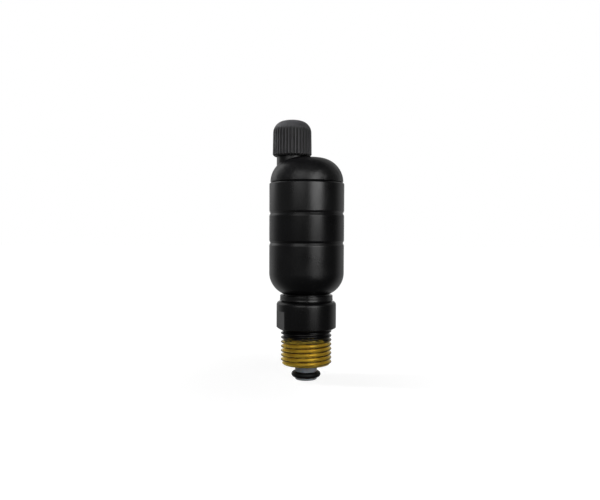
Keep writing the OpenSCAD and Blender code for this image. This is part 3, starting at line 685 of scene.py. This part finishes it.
def cover_outline(angle):
    """The cover's outline from the nozzle's top round the inside to the nozzle's foot, at one angle."""

    def dome(reach):
        return crowned(from_axis(reach, angle), dome_r, dome_centre_r, dome_centre_z)

    def ceiling(reach):
        return crowned(from_axis(reach, angle), ceiling_r, ceiling_centre_r, ceiling_centre_z)

    points = [(nozzle_r - nozzle_chamfer, cover_high.z), (nozzle_bore_r + nozzle_bore_edge, cover_high.z)]
    points += [(nozzle_bore_r, cover_high.z - nozzle_bore_edge), (nozzle_bore_r, seat_top)]
    points.append((seat_bore_r, seat_top))
    for step in range(boss_steps + 1):
        reach = seat_bore_r + (boss_r - seat_bore_r) * step / boss_steps
        points.append((reach, min(boss_z, ceiling(reach))))
    wall = from_chimney(skirt_bore_r, angle)
    for step in range(ceiling_steps + 1):
        reach = wall - (wall - boss_r) * (1 - step / ceiling_steps) ** 2
        points.append((reach, ceiling(reach)))
    points.append((wall, cover_low.z))
    for radius, z in (
        (skirt_r - skirt_chamfer, cover_low.z),
        (skirt_r, cover_low.z + skirt_chamfer),
        (skirt_r, seam_z),
        (dome_edge_r - seam_chamfer, seam_z),
        (dome_edge_r - seam_edge, seam_z + seam_chamfer - seam_edge),
        (dome_edge_r, seam_z + seam_chamfer + seam_edge),
    ):
        points.append((from_chimney(radius, angle), z))

    # A ball of the fillet's radius rolls round the chimney's foot, and the dome ends where the ball touches.
    ball = chimney_r + chimney_fillet
    spread = [ball - chimney_fillet + 2 * chimney_fillet * i / touch_steps for i in range(touch_steps + 1)]
    lifts = [dome(s) + math.sqrt(max(chimney_fillet**2 - (s - ball) ** 2, 0)) for s in spread]
    ball_z = max(lifts)
    touch = spread[lifts.index(ball_z)]
    edge = from_chimney(dome_edge_r, angle)
    for step in range(1, dome_steps + 1):
        t = step / dome_steps
        reach = edge - (edge - touch) * t**2
        points.append((reach, dome(reach)))
    start = math.atan2(dome(touch) - ball_z, touch - ball) % math.tau
    for step in range(1, fillet_steps + 1):
        t = start + (math.pi - start) * step / fillet_steps
        points.append((ball + chimney_fillet * math.cos(t), ball_z + chimney_fillet * math.sin(t)))
    points.append((chimney_r, chimney_top - chimney_edge))
    points.append((chimney_r - 0.3 * chimney_edge, chimney_top - 0.3 * chimney_edge))
    points += [(chimney_r - chimney_edge, chimney_top), (nozzle_r, chimney_top)]
    return points


bm = bmesh.new()
ribbons = []
for column in range(COLUMNS):
    angle = math.tau * column / COLUMNS
    spots = [(chimney_x + r * math.cos(angle), r * math.sin(angle), z) for r, z in cover_outline(angle)]
    ribbons.append([bm.verts.new(Vector(spot) * MM) for spot in spots])
for ribbon, following in zip(ribbons, ribbons[1:] + ribbons[:1]):
    for i in range(len(ribbon) - 1):
        bm.faces.new((ribbon[i + 1], ribbon[i], following[i], following[i + 1]))
cut_thread(
    bm,
    forged_paint,
    nozzle_r,
    nozzle_pitch,
    nozzle_depth,
    chimney_top,
    cover_high.z,
    nozzle_chamfer,
    nozzle_run_out,
    cover_high.z,
    chimney_x,
    lead_up=True,
)
set_piece("vent_lid", bm, forged_paint, "vent", "black_painted_brass", "vent_cover")

# Vent cap
# A screw cap of dark nylon, moulded with 36 finger ribs; the grooves between them run out on its low crown.
# It screws on the nozzle over a gasket, and opened by a turn it lets the air out.
cap_r, cap_side_r = 8.0, 7.84
crown_r, crown_edge_r = 16.0, 5.0
cap_foot_chamfer = 0.7
cap_grooves, cap_groove_r, cap_groove_depth = 36, 0.45, 0.5
cap_skirt_r, cap_skirt_top = 6.6, chimney_top + 0.8
cap_bore_r, cap_roof_z = 5.05, cap_high.z - 2.5
cap_columns = cap_grooves * 12
crown_edge_centre = cap_side_r - crown_edge_r
crown_turn = math.asin(crown_edge_centre / (crown_r - crown_edge_r))
cap_side_top = cap_high.z - crown_r + (crown_r - crown_edge_r) * math.cos(crown_turn)
cap_draft = (cap_r - cap_side_r) / (cap_side_top - cap_low.z)
crown_start = 90 - math.degrees(crown_turn)

# Nylon, moulded dark grey: a matte skin with the fine grain of a spark-worn mould, and painted shade that
# makes the grooves between the ribs nearly black below the crown; the ribs' tops and the crown keep the
# plain grey.
groove_shade_r, rib_unshaded_r = cap_r - 0.4, cap_r - 0.1
crown_unshaded_low, crown_unshaded_high = cap_high.z - 4.6, cap_high.z - 3.4
nylon, tree, shader, where = new_finish("moulded_dark_nylon")
cloud = add_node(
    tree, "ShaderNodeTexNoise", {"Vector": where, "Scale": 1 / (4 * MM), "Detail": 3}
).outputs[0]
grain = add_node(
    tree, "ShaderNodeTexNoise", {"Vector": where, "Scale": 1 / (0.5 * MM), "Detail": 2}
).outputs[0]
colour = add_node(
    tree, "ShaderNodeMix", {0: cloud, 6: linear("#3e3e40"), 7: linear("#464648")}, data_type="RGBA"
).outputs[2]
axes = add_node(tree, "ShaderNodeSeparateXYZ", {0: where}).outputs
across = add_node(
    tree, "ShaderNodeMath", {0: axes["X"], 1: chimney_x * MM}, operation="SUBTRACT"
).outputs[0]
flat_spot = add_node(tree, "ShaderNodeCombineXYZ", {"X": across, "Y": axes["Y"]}).outputs[0]
radius = add_node(tree, "ShaderNodeVectorMath", {0: flat_spot}, operation="LENGTH").outputs["Value"]
rib = add_node(
    tree, "ShaderNodeMapRange", {"Value": radius, 1: groove_shade_r * MM, 2: rib_unshaded_r * MM, 3: 0.0, 4: 1.0}
).outputs[0]
crown = add_node(
    tree,
    "ShaderNodeMapRange",
    {"Value": axes["Z"], 1: crown_unshaded_low * MM, 2: crown_unshaded_high * MM, 3: 0.0, 4: 1.0},
).outputs[0]
outside_groove_shade = add_node(tree, "ShaderNodeMath", {0: rib, 1: crown}, operation="MAXIMUM").outputs[0]
# The grooves are painted nearly black as painted shade in the recesses; the ribs' tops and the crown are
# left unshaded.
colour = add_node(
    tree, "ShaderNodeMix", {0: outside_groove_shade, 6: linear("#080809"), 7: colour}, data_type="RGBA"
).outputs[2]
gloss = add_node(tree, "ShaderNodeMapRange", {"Value": grain, 1: 0.3, 2: 0.7, 3: 0.48, 4: 0.62}).outputs[0]
bump = add_node(
    tree, "ShaderNodeBump", {"Strength": 0.3, "Distance": 0.02 * MM, "Height": grain}
).outputs[0]
fill(tree, shader, {"Base Color": colour, "Roughness": gloss, "Normal": bump, "IOR": 1.53})

# The ribs' generator: round grooves, drafted like the cap's side, pressed into a turned blank.
ribs = bpy.data.node_groups.new("cap_ribs", "GeometryNodeTree")
for name, kind in (
    ("Blank", "Geometry"),
    ("Axis X", "Float"),
    ("Grooves", "Int"),
    ("Groove Radius", "Float"),
    ("Groove Centre", "Float"),
    ("Foot Height", "Float"),
    ("Draft", "Float"),
    ("Finish", "Material"),
):
    ribs.interface.new_socket(name, in_out="INPUT", socket_type="NodeSocket" + kind)
ribs.interface.new_socket("Cap", in_out="OUTPUT", socket_type="NodeSocketGeometry")
given = add_node(ribs, "NodeGroupInput").outputs
place = add_node(ribs, "GeometryNodeInputPosition").outputs[0]
place = add_node(ribs, "ShaderNodeSeparateXYZ", {0: place}).outputs
x = add_node(ribs, "ShaderNodeMath", {0: place["X"], 1: given["Axis X"]}, operation="SUBTRACT").outputs[0]
angle = add_node(ribs, "ShaderNodeMath", {0: place["Y"], 1: x}, operation="ARCTAN2").outputs[0]
pace = add_node(ribs, "ShaderNodeMath", {0: math.tau, 1: given["Grooves"]}, operation="DIVIDE").outputs[0]
step = add_node(ribs, "ShaderNodeMath", {0: angle, 1: pace}, operation="DIVIDE").outputs[0]
step = add_node(ribs, "ShaderNodeMath", {0: step}, operation="FRACT").outputs[0]
step = add_node(ribs, "ShaderNodeMath", {0: step, 1: 0.5}, operation="SUBTRACT").outputs[0]
off = add_node(ribs, "ShaderNodeMath", {0: step, 1: pace}, operation="MULTIPLY").outputs[0]
flat_spot = add_node(ribs, "ShaderNodeCombineXYZ", {"X": x, "Y": place["Y"]}).outputs[0]
radius = add_node(ribs, "ShaderNodeVectorMath", {0: flat_spot}, operation="LENGTH").outputs["Value"]
rise = add_node(
    ribs, "ShaderNodeMath", {0: place["Z"], 1: given["Foot Height"]}, operation="SUBTRACT"
).outputs[0]
centre = add_node(ribs, "ShaderNodeMath", {0: rise, 1: given["Draft"]}, operation="MULTIPLY").outputs[0]
centre = add_node(
    ribs, "ShaderNodeMath", {0: given["Groove Centre"], 1: centre}, operation="SUBTRACT"
).outputs[0]
sin = add_node(ribs, "ShaderNodeMath", {0: off}, operation="SINE").outputs[0]
cos = add_node(ribs, "ShaderNodeMath", {0: off}, operation="COSINE").outputs[0]
side = add_node(ribs, "ShaderNodeMath", {0: centre, 1: sin}, operation="MULTIPLY").outputs[0]
side = add_node(ribs, "ShaderNodeMath", {0: side, 1: 2.0}, operation="POWER").outputs[0]
bite = add_node(ribs, "ShaderNodeMath", {0: given["Groove Radius"], 1: 2.0}, operation="POWER").outputs[0]
bite = add_node(ribs, "ShaderNodeMath", {0: bite, 1: side}, operation="SUBTRACT").outputs[0]
inside = add_node(ribs, "ShaderNodeMath", {0: bite, 1: 0.0}, operation="GREATER_THAN").outputs[0]
bite = add_node(ribs, "ShaderNodeMath", {0: bite, 1: 0.0}, operation="MAXIMUM").outputs[0]
bite = add_node(ribs, "ShaderNodeMath", {0: bite}, operation="SQRT").outputs[0]
wall = add_node(ribs, "ShaderNodeMath", {0: centre, 1: cos}, operation="MULTIPLY").outputs[0]
wall = add_node(ribs, "ShaderNodeMath", {0: wall, 1: bite}, operation="SUBTRACT").outputs[0]
pressed = add_node(ribs, "ShaderNodeMath", {0: radius, 1: wall}, operation="MINIMUM").outputs[0]
share = add_node(ribs, "ShaderNodeMath", {0: pressed, 1: radius}, operation="DIVIDE").outputs[0]
x = add_node(
    ribs, "ShaderNodeMath", {0: x, 1: share, 2: given["Axis X"]}, operation="MULTIPLY_ADD"
).outputs[0]
y = add_node(ribs, "ShaderNodeMath", {0: place["Y"], 1: share}, operation="MULTIPLY").outputs[0]
spot = add_node(ribs, "ShaderNodeCombineXYZ", {"X": x, "Y": y, "Z": place["Z"]}).outputs[0]
bent = add_node(
    ribs, "GeometryNodeSetPosition", {"Geometry": given["Blank"], "Selection": inside, "Position": spot}
).outputs[0]
real = add_node(ribs, "GeometryNodeRealizeInstances", {"Geometry": bent}).outputs[0]
coated = add_node(
    ribs, "GeometryNodeSetMaterial", {"Geometry": real, "Material": given["Finish"]}
).outputs[0]
add_node(ribs, "NodeGroupOutput", {0: coated})

side_heights = [cap_low.z + (cap_side_top - cap_low.z) * i / 6 for i in range(1, 6)]
blank = bmesh.new()
turn(
    blank,
    eased(
        [
            (cap_skirt_r, cap_low.z, 0),
            (cap_r - cap_foot_chamfer, cap_low.z, 0.2),
            (cap_r - cap_draft * cap_foot_chamfer, cap_low.z + cap_foot_chamfer, 0.3),
            *[(cap_r - cap_draft * (z - cap_low.z), z, 0) for z in side_heights],
            *arc(crown_edge_centre, cap_side_top, crown_edge_r, 0, crown_start, 20),
            *arc(0, cap_high.z - crown_r, crown_r, crown_start, 90, 10)[1:],
        ]
    )
    + [(0, cap_roof_z), (cap_bore_r, cap_roof_z)]
    + [(cap_bore_r, cap_skirt_top), (cap_skirt_r, cap_skirt_top)],
    columns=cap_columns,
    axis_x=chimney_x,
    closed=True,
)
blank_mesh = bpy.data.meshes.new("cap_blank")
blank.to_mesh(blank_mesh)
blank.free()
ribbed = grow(
    ribs,
    {
        "Axis X": chimney_x * MM,
        "Grooves": cap_grooves,
        "Groove Radius": cap_groove_r * MM,
        "Groove Centre": (cap_r + cap_groove_r - cap_groove_depth) * MM,
        "Foot Height": cap_low.z * MM,
        "Draft": cap_draft,
        "Finish": nylon,
    },
    blank_mesh,
)
bm = bmesh.new()
bm.from_mesh(ribbed)
set_piece("ribbed_cap", bm, nylon, "cap", "dark_moulded_plastic", "vent_cap")

# Float
# A hollow float and the plug that closes it, both moulded in natural polypropylene.
# The lever's pin rides in the slots of the float's two lugs.


def coat(finish, *names):
    """Gives its finish to CAD nodes that are shown as they are."""
    for name in names:
        nodes[name].data.materials.clear()
        nodes[name].data.materials.append(finish)


# Polypropylene, moulded without pigment: a milky off-white with a waxy sheen.
polypropylene, tree, shader, where = new_finish("moulded_natural_polypropylene")
cloud = add_node(
    tree, "ShaderNodeTexNoise", {"Vector": where, "Scale": 1 / (5 * MM), "Detail": 2}
).outputs[0]
colour = add_node(
    tree, "ShaderNodeMix", {0: cloud, 6: linear("#d6d6cd"), 7: linear("#e2e2dc")}, data_type="RGBA"
).outputs[2]
gloss = add_node(tree, "ShaderNodeMapRange", {"Value": cloud, 1: 0.3, 2: 0.7, 3: 0.38, 4: 0.5}).outputs[0]
fill(tree, shader, {"Base Color": colour, "Roughness": gloss, "IOR": 1.49})
coat(polypropylene, "float_shell", "float_plug")

# Lever, bracket, pins, clip and springs
# Stainless steel: the bracket and lever are stamped and folded sheet, the pins turned, the springs
# cold-drawn wire. The bracket is held under the seat's hexagon, and the lever swings on its headed pin.

# Stainless steel, rolled and stamped: a cool grey metal with fine lines along the way it was rolled.
steel, tree, shader, where = new_finish("stamped_stainless_steel")
rolled = add_node(tree, "ShaderNodeMapping", {"Vector": where, "Scale": (1, 8, 8)}).outputs[0]
lines = add_node(
    tree, "ShaderNodeTexNoise", {"Vector": rolled, "Scale": 1 / (1.5 * MM), "Detail": 3}
).outputs[0]
colour = add_node(
    tree, "ShaderNodeMix", {0: lines, 6: linear("#b4b6b8"), 7: linear("#c8cacc")}, data_type="RGBA"
).outputs[2]
gloss = add_node(tree, "ShaderNodeMapRange", {"Value": lines, 1: 0.3, 2: 0.7, 3: 0.25, 4: 0.4}).outputs[0]
fill(tree, shader, {"Base Color": colour, "Roughness": gloss, "Metallic": 1.0})
coat(steel, "lever_bracket", "pivot_pin", "float_lever", "float_pin", "stem_clip")
coat(steel, "stem_spring", "plunger_spring")

# Seat, stem and collar
# Small parts turned from brass bar: the seat with its orifice, which screws into the cover's boss, and the
# stem whose pad shuts it, with the collar that its spring pushes on.

# Brass, turned bright: warm yellow metal with fine lathe rings across its axis.
turned_brass, tree, shader, where = new_finish("turned_brass")
axes = add_node(tree, "ShaderNodeSeparateXYZ", {0: where}).outputs
rings = add_node(tree, "ShaderNodeCombineXYZ", {"Z": axes["Z"]}).outputs[0]
rings = add_node(
    tree, "ShaderNodeTexNoise", {"Vector": rings, "Scale": 1 / (0.3 * MM), "Detail": 2}
).outputs[0]
colour = add_node(
    tree, "ShaderNodeMix", {0: rings, 6: linear("#c0923a"), 7: linear("#d9b04a")}, data_type="RGBA"
).outputs[2]
gloss = add_node(tree, "ShaderNodeMapRange", {"Value": rings, 1: 0.3, 2: 0.7, 3: 0.22, 4: 0.34}).outputs[0]
fill(tree, shader, {"Base Color": colour, "Roughness": gloss, "Metallic": 1.0})
coat(turned_brass, "seat_insert", "valve_stem", "stem_collar")

# Inner seals
# Moulded nitrile rubber: the cover's O-ring, the washer of the seat, the stem's pad and the cap's gasket.
# Each lies in its own groove or recess.
coat(rubber, "cover_o_ring", "seat_washer", "stem_pad", "cap_gasket")

# Studio
# A floor of white paper that runs into a white backdrop, lit by soft boxes in front and behind.
# The camera sees plain white all round; the part's gloss sees a grey wall that is graded for black paint.
floor_reach, floor_z = 2, cad_box[0].z
corners = ((-1, -1), (1, -1), (1, 1), (-1, 1))
floor_mesh = bpy.data.meshes.new("floor")
floor_mesh.from_pydata([(x * floor_reach, y * floor_reach, floor_z) for x, y in corners], [], [(0, 1, 2, 3)])
floor = bpy.data.objects.new("floor", floor_mesh)
bpy.context.scene.collection.objects.link(floor)
floor.visible_glossy = False

# Matte white paper: lit by the studio like the part, and white to the camera, with its white glow turned
# down, as painted shade, within some centimetres of the part, where its shadow lies.
shadow_r, white_r = 0.03, 0.09
paper, tree, shader, where = new_finish("matte_white_paper")
rays = add_node(tree, "ShaderNodeLightPath").outputs
away = add_node(tree, "ShaderNodeVectorMath", {0: where}, operation="LENGTH").outputs["Value"]
white = add_node(
    tree, "ShaderNodeMapRange", {"Value": away, 1: shadow_r, 2: white_r, 3: 0.88, 4: 1.0}
).outputs[0]
glow = add_node(
    tree, "ShaderNodeMath", {0: rays["Is Camera Ray"], 1: white}, operation="MULTIPLY"
).outputs[0]
fill(tree, shader, {"Base Color": linear("#707070"), "Roughness": 0.9, "Specular IOR Level": 0.1})
fill(tree, shader, {"Emission Color": linear("#ffffff"), "Emission Strength": glow})
floor_mesh.materials.append(paper)

# The world: white to the camera and through clear things, and to gloss where the backdrop stands behind the
# part. Around that, gloss sees a wall that is brightest at the sides behind the part, darker behind its
# middle, fades out above and below, and is a little lighter on the left.
world = bpy.data.worlds.new("white_studio")
bpy.context.scene.world = world
world.use_nodes = True
tree = world.node_tree
tree.nodes.clear()
rays = add_node(tree, "ShaderNodeLightPath").outputs
look = add_node(tree, "ShaderNodeTexCoord").outputs["Generated"]
look = add_node(tree, "ShaderNodeSeparateXYZ", {0: look}).outputs
backdrop = add_node(
    tree, "ShaderNodeMapRange", {"Value": look["Y"], 1: 0.9, 2: 0.97, 3: 0.0, 4: 1.0}
).outputs[0]
mirrored = add_node(
    tree, "ShaderNodeMath", {0: rays["Is Glossy Ray"], 1: backdrop}, operation="MULTIPLY"
).outputs[0]
seen = add_node(
    tree, "ShaderNodeMath", {0: rays["Is Camera Ray"], 1: rays["Is Transmission Ray"]}, operation="MAXIMUM"
).outputs[0]
seen = add_node(tree, "ShaderNodeMath", {0: seen, 1: mirrored}, operation="MAXIMUM").outputs[0]
behind = add_node(
    tree, "ShaderNodeMapRange", {"Value": look["Y"], 1: 0.12, 2: 0.6, 3: 0.0, 4: 0.42}
).outputs[0]
middle = add_node(
    tree, "ShaderNodeMapRange", {"Value": look["Y"], 1: 0.72, 2: 0.97, 3: 1.0, 4: 0.5}
).outputs[0]
off_level = add_node(tree, "ShaderNodeMath", {0: look["Z"]}, operation="ABSOLUTE").outputs[0]
level = add_node(
    tree, "ShaderNodeMapRange", {"Value": off_level, 1: 0.6, 2: 0.9, 3: 1.0, 4: 0.0}
).outputs[0]
left = add_node(
    tree, "ShaderNodeMapRange", {"Value": look["X"], 1: -0.2, 2: -0.8, 3: 0.04, 4: 0.1}
).outputs[0]
behind = add_node(tree, "ShaderNodeMath", {0: behind, 1: middle}, operation="MULTIPLY").outputs[0]
behind = add_node(
    tree, "ShaderNodeMath", {0: behind, 1: level, 2: left}, operation="MULTIPLY_ADD"
).outputs[0]
wall = add_node(tree, "ShaderNodeBackground", {"Color": linear("#ffffff"), "Strength": behind}).outputs[0]
white = add_node(tree, "ShaderNodeBackground", {"Color": linear("#ffffff"), "Strength": 1.0}).outputs[0]
both = add_node(tree, "ShaderNodeMixShader", {0: seen, 1: wall, 2: white}).outputs[0]
add_node(tree, "ShaderNodeOutputWorld", {"Surface": both})

# The soft boxes: the key on the right, the fill at the front left, the rim behind on the left, and a low
# strip that stands for the light from the pale floor in front. Each has its azimuth from the camera's side
# in degrees, then the height of its middle, its distance, width and height in metres, and its watts.
lamp_aim = Vector((0, 0, 0.045))
for name, azimuth, middle, distance, width, tall, power in (
    ("key_box", 29.5, 0.303, 0.75, 0.47, 0.56, 2.9),
    ("fill_box", -24, 0.41, 0.7, 0.5, 0.54, 1.25),
    ("rim_box", -125, 0.4, 0.7, 0.45, 0.6, 0.48),
    ("low_strip", 29, -0.012, 0.15, 0.08, 0.014, 0.0055),
):
    lamp = bpy.data.lights.new(name, "AREA")
    lamp.shape = "RECTANGLE"
    lamp.size, lamp.size_y = width, tall
    lamp.energy = power
    holder = bpy.data.objects.new(name, lamp)
    turn_by = math.radians(azimuth)
    holder.location = (distance * math.sin(turn_by), -distance * math.cos(turn_by), middle)
    holder.rotation_euler = (lamp_aim - holder.location).to_track_quat("-Z", "Y").to_euler()
    holder.visible_camera = False
    bpy.context.scene.collection.objects.link(holder)

# A snoot on the cap from the upper left, which lights its matte skin alone.
snoot_place, snoot_aim = Vector((-0.353, 0.031, 0.434)), Vector((-0.006, 0, 0.08))
snoot = bpy.data.lights.new("cap_snoot", "SPOT")
snoot.energy = 42
snoot.spot_size = math.radians(9)
snoot.spot_blend = 0.3
snoot.shadow_soft_size = 0.06
holder = bpy.data.objects.new("cap_snoot", snoot)
holder.location = snoot_place
holder.rotation_euler = (snoot_aim - holder.location).to_track_quat("-Z", "Y").to_euler()
holder.visible_camera = False
holder.visible_glossy = False
bpy.context.scene.collection.objects.link(holder)

bpy.context.scene.view_settings.view_transform = "Standard"

# Camera
# It stands 270 mm in front, level with the chamber's middle band, and looks slightly down.
# It is rolled by a quarter of a degree, because the valve leans by as much in the picture.
camera_x, camera_distance, camera_z, target_z = -2.7, 270.0, 42.0, 33.42
focal_px, frame_px = 655.0, 600
camera_roll = 0.25
lens = bpy.data.cameras.new("camera")
lens.sensor_width = 36
lens.lens = focal_px * lens.sensor_width / frame_px
camera = bpy.data.objects.new("camera", lens)
camera.location = Vector((camera_x, -camera_distance, camera_z)) * MM
aim = Vector((camera_x, 0, target_z)) * MM - camera.location
roll = Quaternion((0, 0, 1), math.radians(camera_roll))
camera.rotation_euler = (aim.to_track_quat("-Z", "Y") @ roll).to_euler()
bpy.context.scene.collection.objects.link(camera)
bpy.context.scene.camera = camera
